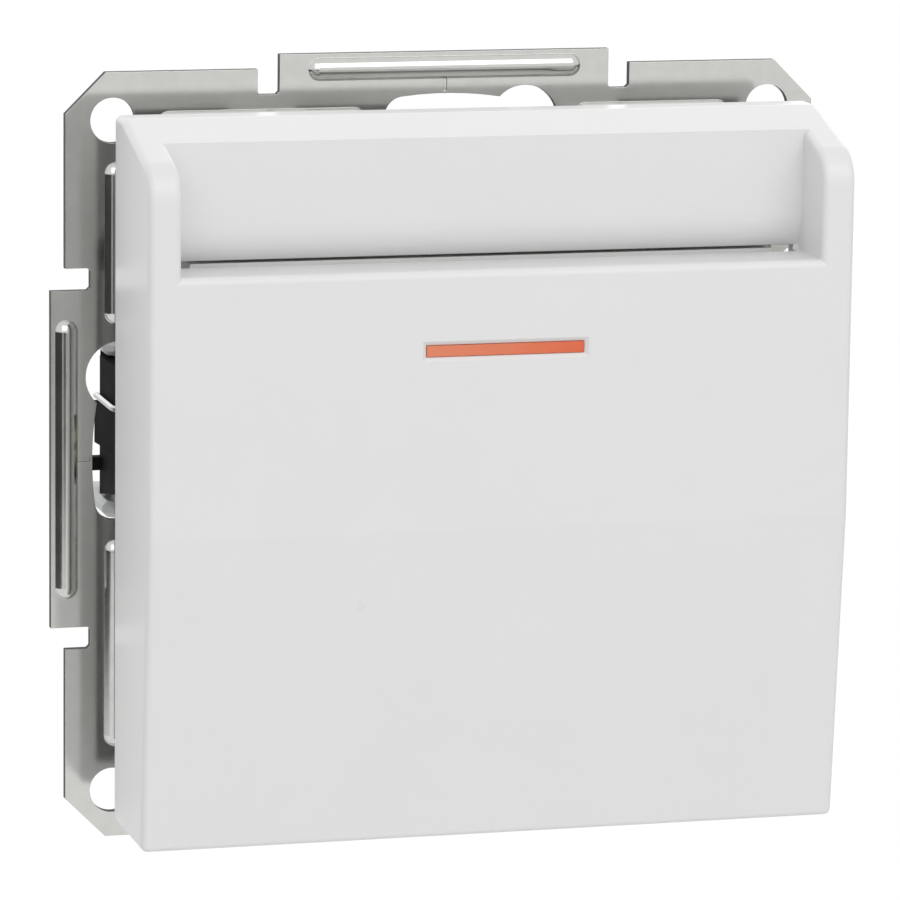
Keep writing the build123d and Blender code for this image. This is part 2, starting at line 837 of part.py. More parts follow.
def carrier():
    body = carrier_shell()
    wall_y = (channel_rear - overrun, channel_rear + carrier_wall + overrun)
    window_half = lever_width / 2 + fit_gap
    window_bottom = nose_level - heel_drop - lever_window_margin
    body -= block((-window_half, window_half), wall_y, (window_bottom, lever_window_top))
    guide_half = guide_width / 2 + seat_gap
    guide_z = (lens_level - guide_height / 2 - seat_gap, lens_level + guide_height / 2 + seat_gap)
    body -= block((-guide_half, guide_half), wall_y, guide_z)
    for sign in (-1, 1):
        head_room = claw_head_radius + fit_gap
        x_range = sorted((sign * (claw_screw_x - head_room), sign * (carrier_flange_reach + overrun)))
        y_range = (plate_front - claw_head_height - fit_gap, plate_front + overrun)
        body -= block(x_range, y_range, (-head_room, head_room))
        body += bearing_ear(sign)
        post_x = sign * post_half_pitch
        board_front = channel_rear + board_depth
        body += bar_y(post_side, post_x, (channel_rear + carrier_wall / 2, board_front), lens_level)
        pin_end = board_front + board_thickness + post_pin_side / 2
        body += bar_y(post_pin_side, post_x, (board_front, pin_end), lens_level)
        for z_sign in (-1, 1):
            body += carrier_leg(sign, z_sign)
            hook_x = sign * hook_half_pitch
            hook_half = hook_width / 2 + fit_gap
            hole_y = (hook_end() - hook_barb_length - fit_gap, hook_end() + fit_gap)
            hole_z = span(z_sign, carrier_height / 2 - carrier_wall - overrun, carrier_height / 2 + overrun)
            body -= block((hook_x - hook_half, hook_x + hook_half), hole_y, hole_z)
    return body


# Cover

def cover_outline():
    """Side view of the cover: leaning lower front, upright upper front, sloped and flat top."""
    slope_drop = (cover_depth - top_flat_depth) * math.tan(math.radians(top_slope_angle))
    bottom_rear = (cover_rim, cover_bottom)
    bottom_front = (cover_front + front_lean, cover_bottom)
    crease = (cover_front, crease_level)
    top_front = (cover_front, cover_top - slope_drop)
    slope_start = (cover_rim - top_flat_depth, cover_top)
    top_rear = (cover_rim, cover_top)
    corners = (bottom_rear, bottom_front, crease, top_front, slope_start, top_rear)
    face = make_face(Polyline(*corners, close=True))
    face = fillet(nearest_vertex(face, bottom_front), bottom_edge_round)
    face = fillet(nearest_vertex(face, top_front), top_nose_round)
    return fillet(nearest_vertex(face, slope_start), top_slope_round)


def recess_wall_line():
    """Front of the recess's rear wall, from its lower edge up: a curve, then a leaning plane."""
    foot = (slot_rear, recess_wall_end)
    bend = (slot_rear - recess_wall_curve_lean, recess_wall_end + recess_wall_curve_height)
    top = (slot_rear - recess_wall_lean, cover_top + overrun)
    control = (bend[0], recess_wall_end + recess_wall_curve_height / 2)
    return Bezier(foot, control, bend), Line(bend, top)


def recess_cut():
    """Everything removed for the finger recess and the card slit."""
    curve, plane = recess_wall_line()
    foot = curve @ 0
    top = plane @ 1
    front = cover_front - overrun
    rest = Polyline(top, (front, cover_top + overrun), (front, lip_level), (channel_front, lip_level))
    slit = Polyline((channel_front, lip_level), (slot_rear, lip_level), (slot_rear, foot.Y))
    face = make_face([curve, plane, *rest.edges(), *slit.edges()])
    return extrude(Plane.YZ * face, flange_inner, both=True)


def cover_hollow():
    """Inside of the cover: behind the front wall, and behind the recess's rear wall."""
    half = cover_width / 2 - cover_side_wall
    inner_front = cover_front + cover_front_wall
    floor = cover_bottom + cover_bottom_wall
    lean = front_lean / crease_height
    floor_front = inner_front + lean * (crease_level - floor)
    rear = cover_rim + overrun
    shelf = lip_level - lip_thickness
    lower = side_profile(
        [
            (rear, floor),
            (floor_front, floor),
            (inner_front, crease_level),
            (inner_front, shelf),
            (rear, shelf),
        ],
        half,
    )
    wall_rear = slot_rear - recess_wall_lean + recess_wall_thickness
    ceiling = cover_top - cover_top_wall
    upper = side_profile(
        [
            (rear, shelf),
            (wall_rear, shelf),
            (wall_rear, ceiling - slope_loss()),
            (wall_rear + top_flat_depth, ceiling),
            (rear, ceiling),
        ],
        half,
    )
    slit_half = flange_inner - slot_end_margin
    slit = block(
        (-slit_half, slit_half),
        (channel_front, wall_rear + seat_gap),
        (shelf - seat_gap, recess_wall_end),
    )
    return lower + upper + slit


def slope_loss():
    """Drop of the ceiling where the sloped top begins to take its thickness."""
    return top_flat_depth * math.tan(math.radians(top_slope_angle))


def hook_end():
    return cover_rim + hook_beyond_rim


def cover_hook(x, z_sign):
    """Springy hook from the top or bottom wall into the carrier's wall."""
    if z_sign > 0:
        outer = cover_top - cover_top_wall
        inner = outer - hook_top_thickness
    else:
        outer = -(cover_bottom + cover_bottom_wall)
        inner = outer - hook_bottom_thickness
    barb = inner - hook_barb
    front = cover_rim - hook_root
    end = hook_end()
    barb_front = end - hook_barb_length
    points = [
        (front, outer + cover_top_wall / 2),
        (front, inner),
        (barb_front, inner),
        (barb_front, barb),
        (end, inner),
        (end, outer),
        (cover_rim - seat_gap, outer),
        (cover_rim - seat_gap, outer + cover_top_wall / 2),
    ]
    return Pos(x, 0, 0) * side_profile([(y, z_sign * z) for y, z in points], hook_width / 2)


def cover_ribs():
    """Ribs on the inside of the front wall, up to the card, and the rails beside it."""
    ribs = []
    shelf = lip_level - lip_thickness
    inner_front = cover_front + cover_front_wall
    for half_pitch in rib_half_pitches:
        for sign in (-1, 1):
            x = sign * half_pitch
            ribs.append(block(
                (x - rib_thickness / 2, x + rib_thickness / 2),
                (inner_front - cover_front_wall / 2, channel_front),
                (crease_level, shelf + lip_thickness / 2),
            ))
    rail_near = card_width / 2 + card_side_play
    floor = cover_bottom + cover_bottom_wall
    lean = front_lean / crease_height
    half_wall = cover_front_wall / 2
    rail_front_low = inner_front - half_wall + lean * (crease_level - floor)
    rail_rear = cover_front + rail_rear_depth
    rail = side_profile(
        [
            (rail_rear, floor - cover_bottom_wall / 2),
            (rail_front_low, floor - cover_bottom_wall / 2),
            (inner_front - half_wall, crease_level),
            (inner_front - half_wall, rail_above_middle),
            (rail_rear, rail_above_middle),
        ],
        rail_thickness / 2,
    )
    for sign in (-1, 1):
        ribs.append(Pos(sign * (rail_near + rail_thickness / 2), 0, 0) * rail)
    return ribs


def lens_window():
    """Window through the front wall with a bevelled mouth."""
    half_x = lens_width / 2 + lens_gap
    half_z = lens_height / 2 + lens_gap
    window = block(
        (-half_x, half_x),
        (cover_front - overrun, cover_front + cover_front_wall + overrun / 2),
        (lens_level - half_z, lens_level + half_z),
    )
    mouth = Rectangle(2 * (half_x + window_bevel), 2 * (half_z + window_bevel))
    taper = math.degrees(math.atan2(window_bevel, window_bevel_depth))
    plane = Plane(origin=(0, cover_front, lens_level), x_dir=(1, 0, 0), z_dir=(0, 1, 0))
    return window + extrude(plane * mouth, window_bevel_depth, taper=taper)


def cover():
    half = cover_width / 2
    shell = extrude(Plane.YZ * cover_outline(), half, both=True)
    side_edges = [
        edge
        for edge in shell.edges()
        if abs(abs(edge.center().X) - half) < seat_gap and edge.center().Y < cover_rim - seat_gap
    ]
    shell = fillet(side_edges, side_edge_round)
    shell -= recess_cut()
    lip_edges = [
        edge
        for edge in shell.edges().filter_by(Axis.X)
        if abs(edge.center().Y - cover_front) < seat_gap and abs(edge.center().Z - lip_level) < seat_gap
    ]
    shell = fillet(lip_edges, lip_round)
    flange_edges = [
        edge
        for edge in shell.edges()
        if abs(abs(edge.center().X) - flange_inner) < seat_gap
        and edge.center().Y < channel_front - seat_gap
        and edge.center().Z > lip_level + seat_gap
    ]
    shell = fillet(flange_edges, flange_edge_round)
    shell -= cover_hollow()
    for rib in cover_ribs():
        shell += rib
    for x in (-hook_half_pitch, hook_half_pitch):
        for z_sign in (-1, 1):
            shell += cover_hook(x, z_sign)
    return shell - lens_window()


def indicator_lens():
    x_range = (-lens_width / 2, lens_width / 2)
    half_z = lens_height / 2
    wall_rear = cover_front + cover_front_wall
    bar = block(x_range, (cover_front + lens_sink, wall_rear), (lens_level - half_z, lens_level + half_z))
    flange_half_x = lens_flange_width / 2
    flange_half_z = lens_flange_height / 2
    flange_rear = wall_rear + lens_flange_thickness
    bar += block(
        (-flange_half_x, flange_half_x),
        (wall_rear, flange_rear),
        (lens_level - flange_half_z, lens_level + flange_half_z),
    )
    half_tail = lens_tail_height / 2
    tail_end = flange_rear + lens_tail
    return bar + block(x_range, (flange_rear, tail_end), (lens_level - half_tail, lens_level + half_tail))


# Rocker

def card_lever():
    """Side view of the rocker: barrel, leaning arm with its nose in the card's path, rear pad."""
    nose = (channel_rear - nose_reach, nose_level)
    heel = (nose[0] + heel_back, nose_level - heel_drop)
    heel_rear = (heel[0] + heel_length, heel[1])
    arm_front = (hinge_y - barrel_radius, hinge_level)
    arm_rear = (hinge_y + barrel_radius / 2, hinge_level - barrel_radius / 2)
    inner_bend = (heel_rear[0], nose_level + heel_drop)
    face = make_face(Polyline(arm_front, nose, heel, heel_rear, inner_bend, arm_rear, close=True))
    face = fillet(nearest_vertex(face, nose), nose_round)
    face += Pos(hinge_y, hinge_level) * Circle(barrel_radius)
    body = extrude(Plane.YZ * face, lever_width / 2, both=True)
    pad_y = hinge_y + pad_behind_hinge
    pad_face = Pos(pad_y, pad_level) * Circle(pad_radius)
    pad_face += make_face(Polyline(
        (pad_y, pad_level + pad_radius),
        (heel_rear[0] - arm_thickness / 2, pad_level + pad_radius),
        (heel_rear[0] - arm_thickness / 2, pad_level - pad_radius),
        (pad_y, pad_level - pad_radius),
        close=True,
    ))
    body += extrude(Plane.YZ * pad_face, pad_width / 2, both=True)
    return body - rod_x(pin_radius + running_gap, (-lever_width, lever_width), hinge_y, hinge_level)


def lever_pin():
    half = lever_width / 2 + fit_gap + ear_thickness + pin_overhang
    return rod_x(pin_radius, (-half, half), hinge_y, hinge_level)


# Orientation light

def light_guide():
    half_x = guide_width / 2
    half_z = guide_height / 2
    y_range = (channel_rear, channel_rear + guide_length)
    return block((-half_x, half_x), y_range, (lens_level - half_z, lens_level + half_z))


def lamp_board():
    front = channel_rear + board_depth
    rear = front + board_thickness
    board = block(
        (-board_half_width, board_half_width),
        (front, rear),
        (lens_level - board_half_height, lens_level + board_half_height),
    )
    hole_range = (front - overrun, rear + overrun)
    for sign in (-1, 1):
        board -= bar_y(post_pin_side + 2 * running_gap, sign * post_half_pitch, hole_range, lens_level)
        board -= bar_y(base_pin_side + 2 * seat_gap, sign * terminal_half_pitch, hole_range, base_pin_level())
    return board


def lamp_lead_x():
    return lamp_length / 2 + lead_run


def resistor_lead_offset():
    return resistor_length / 2 + lead_run


def resistor_level():
    return lens_level - resistor_drop


def resistor_y():
    return channel_rear + board_depth - resistor_radius


def lamp_y():
    return channel_rear + lamp_behind_channel


def neon_lamp():
    half = lamp_length / 2
    bulb = rod_x(lamp_radius, (-half, half), lamp_y(), lens_level)
    return chamfer(bulb.edges(), lamp_radius / 2)


def lamp_resistor():
    half = resistor_length / 2
    x_range = (resistor_middle - half, resistor_middle + half)
    body = rod_x(resistor_radius, x_range, resistor_y(), resistor_level())
    return chamfer(body.edges(), resistor_radius / 2)


def bent_lead(start_x, end_x, y, z):
    """Wire that leaves a component sideways and turns back to a pad on the board."""
    path = Polyline((start_x, y, z), (end_x, y, z), (end_x, channel_rear + board_depth, z))
    start = Plane(origin=(start_x, y, z), z_dir=(end_x - start_x, 0, 0))
    return sweep(start * RegularPolygon(lead_radius, wire_sides), path=path, transition=Transition.RIGHT)


def lamp_leads():
    """Wires of lamp and resistor, and the two square pins that reach the base's upper strips."""
    leads = []
    pin_range = (channel_rear + board_depth, base_pin_depth)
    for sign in (-1, 1):
        leads.append(bent_lead(sign * lamp_length / 2, sign * lamp_lead_x(), lamp_y(), lens_level))
        start = resistor_middle + sign * resistor_length / 2
        end = resistor_middle + sign * resistor_lead_offset()
        leads.append(bent_lead(start, end, resistor_y(), resistor_level()))
        leads.append(bar_y(base_pin_side, sign * terminal_half_pitch, pin_range, base_pin_level()))
    return Compound(children=leads)


nodes = {
    "cover": cover,
    "indicator_lens": indicator_lens,
    "light_guide": light_guide,
    "carrier": carrier,
    "support_ring": support_ring,
    "housing": housing,
    "housing_lid": housing_lid,
    "housing_rivets": housing_rivets,
    "card_lever": card_lever,
    "lever_pin": lever_pin,
    "plunger": plunger,
    "plunger_spring": plunger_spring,
    "contact_bridge": contact_bridge,
    "bridge_tips": lambda: contact_tips((bridge_rear, moving_tip_face)),
    "fixed_contacts": fixed_contacts,
    "fixed_tips": lambda: contact_tips((fixed_tip_face, strip_front)),
    "lamp_contacts": lamp_contacts,
    "terminal_cages": terminal_cages,
    "terminal_screws": terminal_screws,
    "lamp_board": lamp_board,
    "neon_lamp": neon_lamp,
    "lamp_resistor": lamp_resistor,
    "lamp_leads": lamp_leads,
    "claw_left": lambda: claw(-1),
    "claw_right": lambda: claw(1),
    "claw_clip_left": lambda: claw_clip(-1),
    "claw_clip_right": lambda: claw_clip(1),
    "claw_screw_left": lambda: claw_screw(-1),
    "claw_screw_right": lambda: claw_screw(1),
    "claw_nut_left": lambda: claw_nut(-1),
    "claw_nut_right": lambda: claw_nut(1),
}

os.makedirs("parts", exist_ok=True)
for name, make in nodes.items():
    export_step(make(), f"parts/{name}.step")
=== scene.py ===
"""Looks of a hotel key card switch: materials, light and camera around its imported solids."""
import math

import bpy
from mathutils import Matrix, Vector


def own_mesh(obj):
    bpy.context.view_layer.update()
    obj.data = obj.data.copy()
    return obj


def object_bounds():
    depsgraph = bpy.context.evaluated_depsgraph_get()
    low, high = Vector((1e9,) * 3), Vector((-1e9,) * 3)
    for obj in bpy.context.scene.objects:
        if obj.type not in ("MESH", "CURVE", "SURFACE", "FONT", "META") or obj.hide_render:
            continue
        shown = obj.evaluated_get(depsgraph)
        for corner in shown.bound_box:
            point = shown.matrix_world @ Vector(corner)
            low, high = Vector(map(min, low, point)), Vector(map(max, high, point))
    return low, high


mm = 0.001

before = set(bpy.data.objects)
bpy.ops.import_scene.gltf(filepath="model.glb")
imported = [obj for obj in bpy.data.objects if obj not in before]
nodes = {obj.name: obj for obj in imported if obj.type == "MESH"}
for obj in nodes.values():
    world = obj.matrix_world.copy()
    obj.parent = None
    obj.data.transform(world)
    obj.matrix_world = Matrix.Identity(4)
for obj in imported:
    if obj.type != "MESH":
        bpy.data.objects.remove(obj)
cad_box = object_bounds()

# Camera, as fitted to the photograph's edges
camera_azimuth = math.radians(15.457)  # to the left of the insert's axis
camera_elevation = math.radians(10.462)
camera_roll = math.radians(0.717)
camera_distance = 510.0 * mm
camera_right = 1.05 * mm  # of the insert's centre
camera_below = 0.47 * mm
camera_sensor = 36.0  # millimetres
camera_lens = 227.55  # millimetres
camera_near = 10 * mm
camera_far = 20.0

# Levels of light
world_diffuse = 0.68  # as light on the object
backdrop_white = 1.0  # as the camera, the metal and the glass see it
floor_glow = 1.04
floor_glow_share = 0.94  # the rest of the floor shows the object's shadow

# Grain of the materials: sizes of patches, and gloss limits as shares of the roughness
tint_low = 0.35  # noise up to which the darker tone holds
tint_high = 0.65  # and from which the lighter one does
even = (1.0, 1.0, 1.0)  # patches as long as wide
edge_samples = 6
plastic_clouds = 9 * mm
plastic_gloss = 4 * mm
plastic_gloss_low = 0.85
plastic_gloss_high = 1.2
metal_streaks = 1.1 * mm
metal_gloss = 2.5 * mm
metal_gloss_low = 0.75
metal_gloss_high = 1.3
clear_clouds = 3 * mm
clear_shade = 0.95  # darker tone against the lighter one
clear_ripples = 2 * mm
clear_depth = 0.003 * mm

# Support ring: bright faces and dull cut edges
ring_color = (0.61, 0.615, 0.59)
ring_roughness = 0.12
ring_edge_color = (0.05, 0.05, 0.05)
ring_edge_roughness = 0.7
ring_edge_low = 0.08  # share of the normal along Y up to which a face is a cut edge
ring_edge_high = 0.20  # and from which it is a face of the sheet

# Lens: colours by the share of its width, from its left end
lens_stops = (
    (0.1, (0.71, 0.215, 0.115)),
    (0.5, (0.70, 0.19, 0.09)),
    (0.95, (0.69, 0.125, 0.05)),
)
lens_roughness = 0.3
# painted glow: the lens gives off faint light of its own, though it is no lamp
lens_painted_glow = 0.08
lens_ripples = 2.5 * mm
lens_depth = 0.01 * mm

# Floor, well below the insert, which sits in its wall box in use
floor_drop = 90 * mm
floor_half = 3.0
floor_dark = (0.80, 0.80, 0.80)
floor_light = (0.83, 0.83, 0.83)
floor_roughness = 0.8
floor_clouds = 0.4

# Softboxes: place, width, height and power, all aimed at the insert
insert_middle = Vector((0.0, 0.0, 0.0))
softboxes = {
    "left_softbox": ((-0.24, -0.60, 0.42), 0.6, 0.6, 1.1),
    "right_softbox": ((0.22, -0.58, 0.45), 0.45, 0.45, 1.1),
    "back_softbox": ((0.0, 0.55, 0.26), 1.0, 0.5, 1.2),
}

# Cards that the bright metal mirrors: place, width, height and colour
cards = {
    "left_card": ((-0.47, -0.12, -0.10), 0.70, 0.20, (0.04, 0.04, 0.04)),
    "left_stripe_card": ((-0.34, -0.50, -0.12), 0.09, 0.22, (0.45, 0.45, 0.44)),
    "centre_card": ((-0.19, -0.58, -0.13), 0.24, 0.24, (0.10, 0.10, 0.10)),
    "front_card": ((0.22, -0.60, -0.175), 0.62, 0.20, (0.40, 0.40, 0.39)),
    "right_card": ((0.47, -0.13, -0.085), 0.50, 0.16, (0.25, 0.25, 0.25)),
}
card_roughness = 0.9
card_shade = 0.95
card_clouds = 0.2


def place_camera():
    turn = (
        Matrix.Rotation(-camera_azimuth, 4, "Z")
        @ Matrix.Rotation(math.pi / 2 - camera_elevation, 4, "X")
        @ Matrix.Rotation(camera_roll, 4, "Z")
    )
    camera = bpy.data.objects.new("camera", bpy.data.cameras.new("camera"))
    bpy.context.collection.objects.link(camera)
    camera.matrix_world = turn @ Matrix.Translation((camera_right, -camera_below, camera_distance))
    camera.data.sensor_width = camera_sensor
    camera.data.lens = camera_lens
    camera.data.clip_start = camera_near
    camera.data.clip_end = camera_far
    bpy.context.scene.camera = camera


# Materials

def principled(material):
    return material.node_tree.nodes["Principled BSDF"]


def new_material(name, color, roughness, metallic=0.0, **sockets):
    """Principled material; sockets are further values set on the shader itself."""
    material = bpy.data.materials.new(name)
    material.use_nodes = True
    shader = principled(material)
    shader.inputs["Base Color"].default_value = (*color, 1.0)
    shader.inputs["Roughness"].default_value = roughness
    shader.inputs["Metallic"].default_value = metallic
    for socket, value in sockets.items():
        shader.inputs[socket.replace("_", " ")].default_value = value
    return material


def darker(color, share):
    return [part * share for part in color]


def noise(material, size, detail=2.0, stretch=even):
    """Noise in the row frame, with patches of that size in metres, longer along a stretched axis."""
    tree = material.node_tree
    place = tree.nodes.new("ShaderNodeTexCoord")
    mapping = tree.nodes.new("ShaderNodeMapping")
    mapping.inputs["Scale"].default_value = [1 / (size * part) for part in stretch]
    texture = tree.nodes.new("ShaderNodeTexNoise")
    texture.inputs["Scale"].default_value = 1.0
    texture.inputs["Detail"].default_value = detail
    tree.links.new(place.outputs["Object"], mapping.inputs["Vector"])
    tree.links.new(mapping.outputs["Vector"], texture.inputs["Vector"])
    return texture.outputs["Fac"]


def ramp(material, factor, stops):
    """Colour ramp over (position, colour) stops."""
    node = material.node_tree.nodes.new("ShaderNodeValToRGB")
    elements = node.color_ramp.elements
    while len(elements) < len(stops):
        elements.new(0.5)
    for element, (position, color) in zip(elements, stops):
        element.position = position
        element.color = (*color, 1.0)
    material.node_tree.links.new(factor, node.inputs["Fac"])
    return node.outputs["Color"]


def tint(material, factor, dark, light):
    """Base colour that varies between two tones."""
    color = ramp(material, factor, [(tint_low, dark), (tint_high, light)])
    material.node_tree.links.new(color, principled(material).inputs["Base Color"])


def vary_roughness(material, factor, low, high):
    node = material.node_tree.nodes.new("ShaderNodeMapRange")
    node.inputs["To Min"].default_value = low
    node.inputs["To Max"].default_value = high
    material.node_tree.links.new(factor, node.inputs["Value"])
    material.node_tree.links.new(node.outputs["Result"], principled(material).inputs["Roughness"])


def relief(material, factor, depth, edge_round=0.0):
    """Bump of that depth in metres, over edges that look rounded by edge_round."""
    tree = material.node_tree
    bump = tree.nodes.new("ShaderNodeBump")
    bump.inputs["Strength"].default_value = 1.0
    bump.inputs["Distance"].default_value = depth
    tree.links.new(factor, bump.inputs["Height"])
    if edge_round:
        bevel = tree.nodes.new("ShaderNodeBevel")
        bevel.samples = edge_samples
        bevel.inputs["Radius"].default_value = edge_round
        tree.links.new(bevel.outputs["Normal"], bump.inputs["Normal"])
    tree.links.new(bump.outputs["Normal"], principled(material).inputs["Normal"])


def moulding(
    name,
    color,
    roughness,
    spread=0.02,
    grain=1.2 * mm,
    depth=0.004 * mm,
    edge_round=0.12 * mm,
    **sockets,
):
    """Moulded plastic: faint clouds in its colour, uneven gloss and a fine skin."""
    material = new_material(name, color, roughness, **sockets)
    clouds = noise(material, plastic_clouds, detail=3.0)
    tint(material, clouds, darker(color, 1 - spread), color)
    gloss = noise(material, plastic_gloss)
    vary_roughness(material, gloss, roughness * plastic_gloss_low, roughness * plastic_gloss_high)
    relief(material, noise(material, grain), depth, edge_round=edge_round)
    return material


def metal(
    name,
    color,
    roughness,
    spread=0.12,
    stretch=even,
    depth=0.003 * mm,
    edge_round=0.1 * mm,
):
    """Sheet or turned metal: streaks along the stretched axis, uneven polish."""
    material = new_material(name, color, roughness, metallic=1.0)
    streaks = noise(material, metal_streaks, detail=4.0, stretch=stretch)
    tint(material, streaks, darker(color, 1 - spread), color)
    gloss = noise(material, metal_gloss, stretch=stretch)
    vary_roughness(material, gloss, roughness * metal_gloss_low, roughness * metal_gloss_high)
    relief(material, streaks, depth, edge_round=edge_round)
    return material


def clear(name, color, roughness, ior):
    material = new_material(name, color, roughness, Transmission_Weight=1.0, IOR=ior)
    tint(material, noise(material, clear_clouds), darker(color, clear_shade), color)
    relief(material, noise(material, clear_ripples), clear_depth)
    return material


def sheet_faces(material):
    """0 on the sheet's cut edges, whose normals have little of Y, and 1 on its other faces."""
    tree = material.node_tree
    place = tree.nodes.new("ShaderNodeTexCoord")
    parts = tree.nodes.new("ShaderNodeSeparateXYZ")
    tree.links.new(place.outputs["Normal"], parts.inputs["Vector"])
    size = tree.nodes.new("ShaderNodeMath")
    size.operation = "ABSOLUTE"
    tree.links.new(parts.outputs["Y"], size.inputs[0])
    face = tree.nodes.new("ShaderNodeMapRange")
    face.inputs["From Min"].default_value = ring_edge_low
    face.inputs["From Max"].default_value = ring_edge_high
    tree.links.new(size.outputs["Value"], face.inputs["Value"])
    return face.outputs["Result"]


def ring_steel():
    """Bright zinc plated sheet with dull cut edges."""
    material = metal(
        "ring_steel", ring_color, ring_roughness, spread=0.04, depth=0.0006 * mm, edge_round=0.06 * mm
    )
    tree = material.node_tree
    shader = principled(material)
    face = sheet_faces(material)
    tree.links.new(face, shader.inputs["Metallic"])
    edge_values = {
        "Base Color": (*ring_edge_color, 1.0),
        "Roughness": (ring_edge_roughness, ring_edge_roughness, ring_edge_roughness, 1.0),
    }
    for socket, value in edge_values.items():
        mix = tree.nodes.new("ShaderNodeMixRGB")
        mix.inputs["Color1"].default_value = value
        tree.links.new(face, mix.inputs["Fac"])
        tree.links.new(shader.inputs[socket].links[0].from_socket, mix.inputs["Color2"])
        tree.links.new(mix.outputs["Color"], shader.inputs[socket])
    return material


def along_width(material, name):
    """0 at the left end of that node and 1 at its right end."""
    corners = [nodes[name].matrix_world @ Vector(corner) for corner in nodes[name].bound_box]
    tree = material.node_tree
    place = tree.nodes.new("ShaderNodeTexCoord")
    parts = tree.nodes.new("ShaderNodeSeparateXYZ")
    share = tree.nodes.new("ShaderNodeMapRange")
    share.inputs["From Min"].default_value = min(corner.x for corner in corners)
    share.inputs["From Max"].default_value = max(corner.x for corner in corners)
    tree.links.new(place.outputs["Object"], parts.inputs["Vector"])
    tree.links.new(parts.outputs["X"], share.inputs["Value"])
    return share.outputs["Result"]


def lens_orange():
    """Tinted lens, deeper in colour towards the right, with a slightly uneven skin and a painted glow
    in the same colours.
    """
    middle_color = lens_stops[1][1]
    material = new_material("lens_orange", middle_color, lens_roughness, Emission_Strength=lens_painted_glow)
    color = ramp(material, along_width(material, "indicator_lens"), lens_stops)
    # the same colours also feed the lens's painted glow
    for socket in ("Base Color", "Emission Color"):
        material.node_tree.links.new(color, principled(material).inputs[socket])
    relief(material, noise(material, lens_ripples), lens_depth, edge_round=0.1 * mm)
    return material


def paint(material, *names):
    for name in names:
        slots = nodes[name].data.materials
        slots.clear()
        slots.append(material)


def paint_all():
    cover_white = moulding(
        "cover_white",
        (0.80, 0.80, 0.80),
        0.3,
        spread=0.008,
        grain=2.5 * mm,
        depth=0.0015 * mm,
        Specular_IOR_Level=0.35,
    )
    carrier_white = moulding("carrier_white", (0.78, 0.78, 0.77), 0.38)
    base_skin = {"spread": 0.05, "grain": 0.6 * mm, "depth": 0.01 * mm}
    housing_grey = moulding("housing_grey", (0.50, 0.51, 0.51), 0.42, **base_skin)
    lid_grey = moulding("lid_grey", (0.58, 0.59, 0.59), 0.40, **base_skin)
    lever_white = moulding("lever_white", (0.72, 0.72, 0.70), 0.33)
    plunger_black = moulding("plunger_black", (0.035, 0.035, 0.036), 0.36, spread=0.3)
    board_green = moulding(
        "board_green", (0.035, 0.16, 0.07), 0.45, spread=0.3, grain=0.5 * mm, depth=0.01 * mm
    )
    resistor_tan = moulding("resistor_tan", (0.52, 0.36, 0.18), 0.35, spread=0.2)
    claw_black = moulding(
        "claw_black", (0.013, 0.013, 0.014), 0.7, spread=0.3, grain=0.7 * mm, Specular_IOR_Level=0.03
    )
    zinc = metal("zinc_plate", (0.58, 0.58, 0.565), 0.28, stretch=(1.0, 5.0, 1.0))
    yellow_zinc = metal("yellow_zinc", (0.62, 0.56, 0.38), 0.30, stretch=(5.0, 1.0, 5.0))
    bright_steel = metal("bright_steel", (0.62, 0.62, 0.62), 0.18, stretch=(6.0, 1.0, 1.0))
    spring_wire = metal("spring_wire", (0.40, 0.40, 0.395), 0.25, stretch=(1.0, 6.0, 1.0))
    brass = metal("contact_brass", (0.70, 0.50, 0.20), 0.28, stretch=(1.0, 5.0, 1.0))
    silver = metal("contact_silver", (0.80, 0.80, 0.77), 0.22)
    tin = metal("lead_tin", (0.66, 0.66, 0.65), 0.25)

    paint(cover_white, "cover")
    paint(lens_orange(), "indicator_lens")
    paint(clear("guide_clear", (0.92, 0.93, 0.93), 0.06, 1.49), "light_guide")
    paint(carrier_white, "carrier")
    paint(ring_steel(), "support_ring")
    paint(housing_grey, "housing")
    paint(lid_grey, "housing_lid")
    paint(zinc, "housing_rivets", "terminal_cages", "claw_nut_left", "claw_nut_right")
    paint(lever_white, "card_lever")
    paint(bright_steel, "lever_pin")
    paint(spring_wire, "plunger_spring", "claw_clip_left", "claw_clip_right")
    paint(plunger_black, "plunger")
    paint(brass, "contact_bridge", "fixed_contacts", "lamp_contacts")
    paint(silver, "bridge_tips", "fixed_tips")
    paint(yellow_zinc, "terminal_screws", "claw_screw_left", "claw_screw_right")
    paint(board_green, "lamp_board")
    paint(clear("lamp_glass", (0.93, 0.86, 0.80), 0.04, 1.45), "neon_lamp")
    paint(resistor_tan, "lamp_resistor")
    paint(tin, "lamp_leads")
    paint(claw_black, "claw_left", "claw_right")


# Spring mesh

def seat_spring():
    """Gives the plunger's spring a mesh of its own."""
    spring = nodes["plunger_spring"]
    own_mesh(spring)


# Stage

def seen_directly(tree):
    """1 where a camera, glossy or transmission ray meets the surface."""
    path = tree.nodes.new("ShaderNodeLightPath")
    total = path.outputs["Is Camera Ray"]
    for name in ("Is Glossy Ray", "Is Transmission Ray"):
        larger = tree.nodes.new("ShaderNodeMath")
        larger.operation = "MAXIMUM"
        tree.links.new(total, larger.inputs[0])
        tree.links.new(path.outputs[name], larger.inputs[1])
        total = larger.outputs["Value"]
    return total


def light_world():
    world = bpy.data.worlds.new("studio")
    world.use_nodes = True
    tree = world.node_tree
    background = tree.nodes["Background"]
    strength = tree.nodes.new("ShaderNodeMapRange")
    strength.inputs["To Min"].default_value = world_diffuse
    strength.inputs["To Max"].default_value = backdrop_white
    tree.links.new(seen_directly(tree), strength.inputs["Value"])
    tree.links.new(strength.outputs["Result"], background.inputs["Strength"])
    background.inputs["Color"].default_value = (1.0, 1.0, 1.0, 1.0)
    bpy.context.scene.world = world


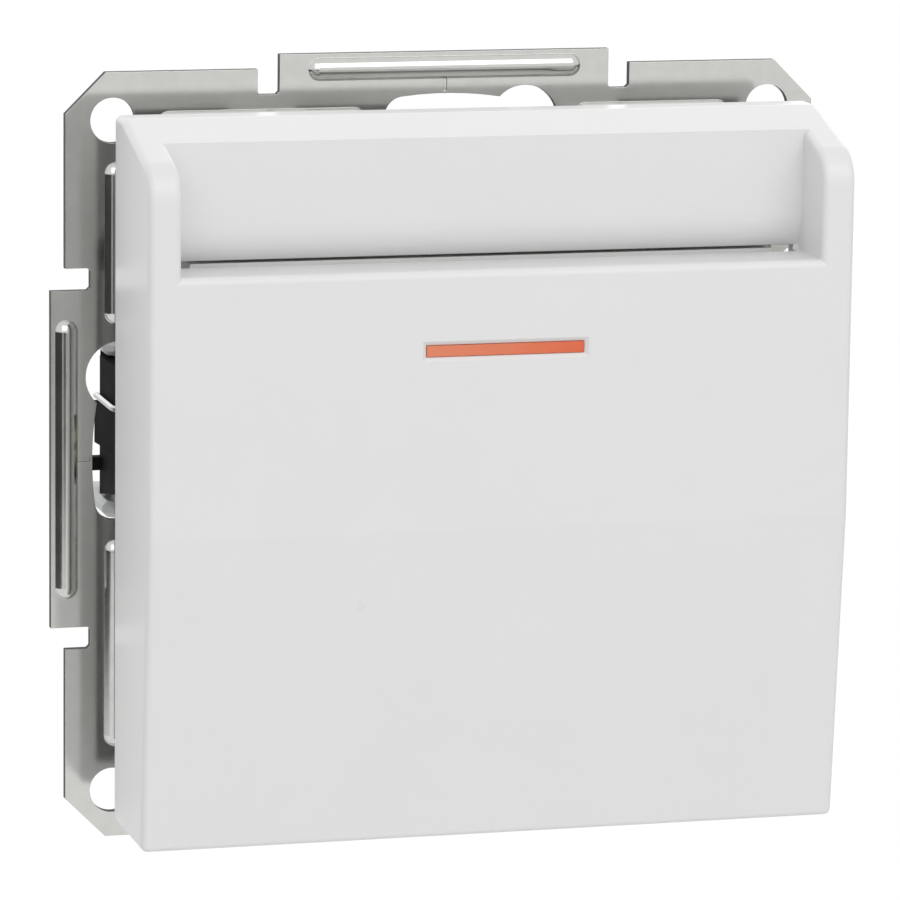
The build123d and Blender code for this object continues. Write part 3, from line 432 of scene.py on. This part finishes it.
def new_plane(name, half_width, half_height, level=0.0):
    """Rectangle parallel to its own XY plane, centred on its own Z axis."""
    corners = [
        (-half_width, -half_height, level),
        (half_width, -half_height, level),
        (half_width, half_height, level),
        (-half_width, half_height, level),
    ]
    mesh = bpy.data.meshes.new(name)
    mesh.from_pydata(corners, [], [(0, 1, 2, 3)])
    plane = bpy.data.objects.new(name, mesh)
    bpy.context.collection.objects.link(plane)
    return plane


def lay_floor():
    floor = new_plane("floor", floor_half, floor_half, level=cad_box[0][2] - floor_drop)
    material = new_material("floor_pale", floor_light, floor_roughness)
    tint(material, noise(material, floor_clouds), floor_dark, floor_light)
    tree = material.node_tree
    glow = tree.nodes.new("ShaderNodeEmission")
    glow.inputs["Strength"].default_value = floor_glow
    mix = tree.nodes.new("ShaderNodeMixShader")
    share = tree.nodes.new("ShaderNodeMath")
    share.operation = "MULTIPLY"
    share.inputs[1].default_value = floor_glow_share
    tree.links.new(seen_directly(tree), share.inputs[0])
    tree.links.new(share.outputs["Value"], mix.inputs["Fac"])
    tree.links.new(principled(material).outputs["BSDF"], mix.inputs[1])
    tree.links.new(glow.outputs["Emission"], mix.inputs[2])
    tree.links.new(mix.outputs["Shader"], tree.nodes["Material Output"].inputs["Surface"])
    floor.data.materials.append(material)


def turn_to_insert(thing, place):
    """Puts a lamp or card in that place, with its -Z axis aimed at the insert."""
    thing.location = place
    direction = insert_middle - Vector(place)
    thing.rotation_euler = direction.to_track_quat("-Z", "Y").to_euler()


def area_light(name, place, width, height, power):
    data = bpy.data.lights.new(name, "AREA")
    data.shape = "RECTANGLE"
    data.size = width
    data.size_y = height
    data.energy = power
    lamp = bpy.data.objects.new(name, data)
    bpy.context.collection.objects.link(lamp)
    turn_to_insert(lamp, place)


def stand_card(name, place, width, height, color):
    """Studio card that the metal mirrors and the camera doesn't see."""
    card = new_plane(name, width / 2, height / 2)
    turn_to_insert(card, place)
    material = new_material(name, color, card_roughness)
    tint(material, noise(material, card_clouds), darker(color, card_shade), color)
    card.data.materials.append(material)
    card.visible_camera = False


def light_object():
    """Softboxes high in front and behind, and low cards in front and at the sides."""
    for name, values in softboxes.items():
        area_light(name, *values)
    for name, values in cards.items():
        stand_card(name, *values)


place_camera()
paint_all()
seat_spring()
light_world()
lay_floor()
light_object()
bpy.context.scene.view_settings.view_transform = "Standard"
